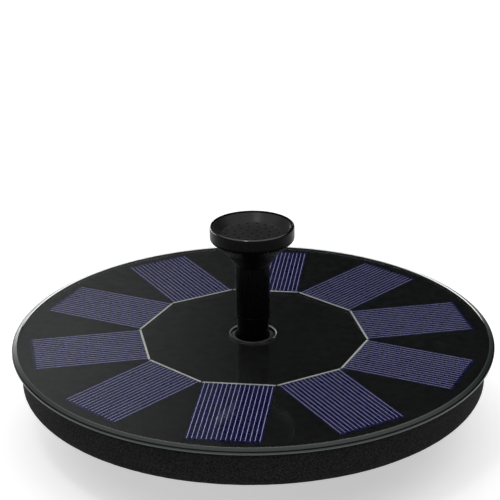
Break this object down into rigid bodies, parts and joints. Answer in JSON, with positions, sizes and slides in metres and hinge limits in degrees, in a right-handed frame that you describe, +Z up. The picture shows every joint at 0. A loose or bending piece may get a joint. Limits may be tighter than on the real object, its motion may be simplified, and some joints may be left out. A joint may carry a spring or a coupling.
{
  "type": "floating solar fountain pump",
  "caption": "Floating round solar panel on a foam ring, with a submersible battery-backed pump under it and a plug-on sprinkler nozzle on top.",
  "frame": {"origin": "centre of the strainer's underside, on the pump axis", "axes": "+Z up along the pump and nozzle axis, -Y towards the front cell"},
  "size_m": [0.18, 0.18, 0.0821],
  "materials": {
    "backsheet": "satin black laminate",
    "battery_wrap": "shrink wrap",
    "board": "solder-masked board",
    "cell": "indigo silicon with fine pale contact lines",
    "chip": "moulded epoxy",
    "connector": "off-white nylon",
    "copper_wire": "enamelled copper turns",
    "ferrite": "matte ferrite",
    "foam": "closed-cell foam, finely speckled",
    "glass": "clear float glass with ground, bevelled edges",
    "housing": "fine-grained moulded plastic",
    "impeller_plastic": "natural acetal",
    "lamination": "stacked steel laminations",
    "lead": "insulated wire",
    "magnet": "sintered ferrite",
    "nozzle_gloss": "gloss black moulding",
    "potting": "cast epoxy",
    "pump_moulding": "satin moulded plastic",
    "ribbon": "tinned copper ribbon",
    "rubber": "matte black rubber",
    "screw": "stainless steel",
    "shaft_ceramic": "polished ceramic",
    "spray_insert": "dark grey gloss moulding"
  },
  "bodies": {
    "float": {"panel_glass": "glass", "backsheet": "backsheet", "bus_ribbon": "ribbon", "hole_seal": "rubber", "float_foam": "foam", "solar_cell_01": "cell", "solar_cell_02": "cell", "solar_cell_03": "cell", "solar_cell_04": "cell", "solar_cell_05": "cell", "solar_cell_06": "cell", "solar_cell_07": "cell", "solar_cell_08": "cell", "solar_cell_09": "cell", "solar_cell_10": "cell", "deck_shell": "housing", "base_cover": "housing", "cover_screws": "screw", "battery_cell": "battery_wrap", "control_board": "board", "charge_inductor": "ferrite", "board_chips": "chip", "lead_connectors": "connector", "panel_leads": "lead", "battery_leads": "lead", "pump_leads": "lead", "pump_body": "pump_moulding", "outlet_cap": "pump_moulding", "outlet_seal": "rubber", "pump_seal": "rubber", "pump_screws": "screw", "stator_core": "lamination", "windings": "copper_wire", "potting_cap": "potting", "pump_shaft": "shaft_ceramic", "upper_cushion": "rubber", "lower_cushion": "rubber", "volute_plate": "pump_moulding", "volute_seal": "rubber"},
    "rotor": {"rotor_magnet": "magnet", "impeller": "impeller_plastic"},
    "strainer": {"strainer_cover": "pump_moulding"},
    "riser": {"riser_tube": "nozzle_gloss"},
    "nozzle": {"nozzle_head": "nozzle_gloss", "spray_disc": "spray_insert"}
  },
  "joints": [
    {"name": "rotor_spin", "type": "hinge", "parent": "float", "child": "rotor", "pos_m": [0, 0, 0.0189], "axis": [0, 0, 1], "continuous": true},
    {"name": "strainer_twist", "type": "hinge", "parent": "float", "child": "strainer", "pos_m": [0, 0, 0.005], "axis": [0, 0, 1], "range_deg": [0, 25]},
    {"name": "riser_lift", "type": "slide", "parent": "float", "child": "riser", "axis": [0, 0, 1], "range_m": [0, 0.03]},
    {"name": "nozzle_lift", "type": "slide", "parent": "riser", "child": "nozzle", "axis": [0, 0, 1], "range_m": [0, 0.02]}
  ]
}
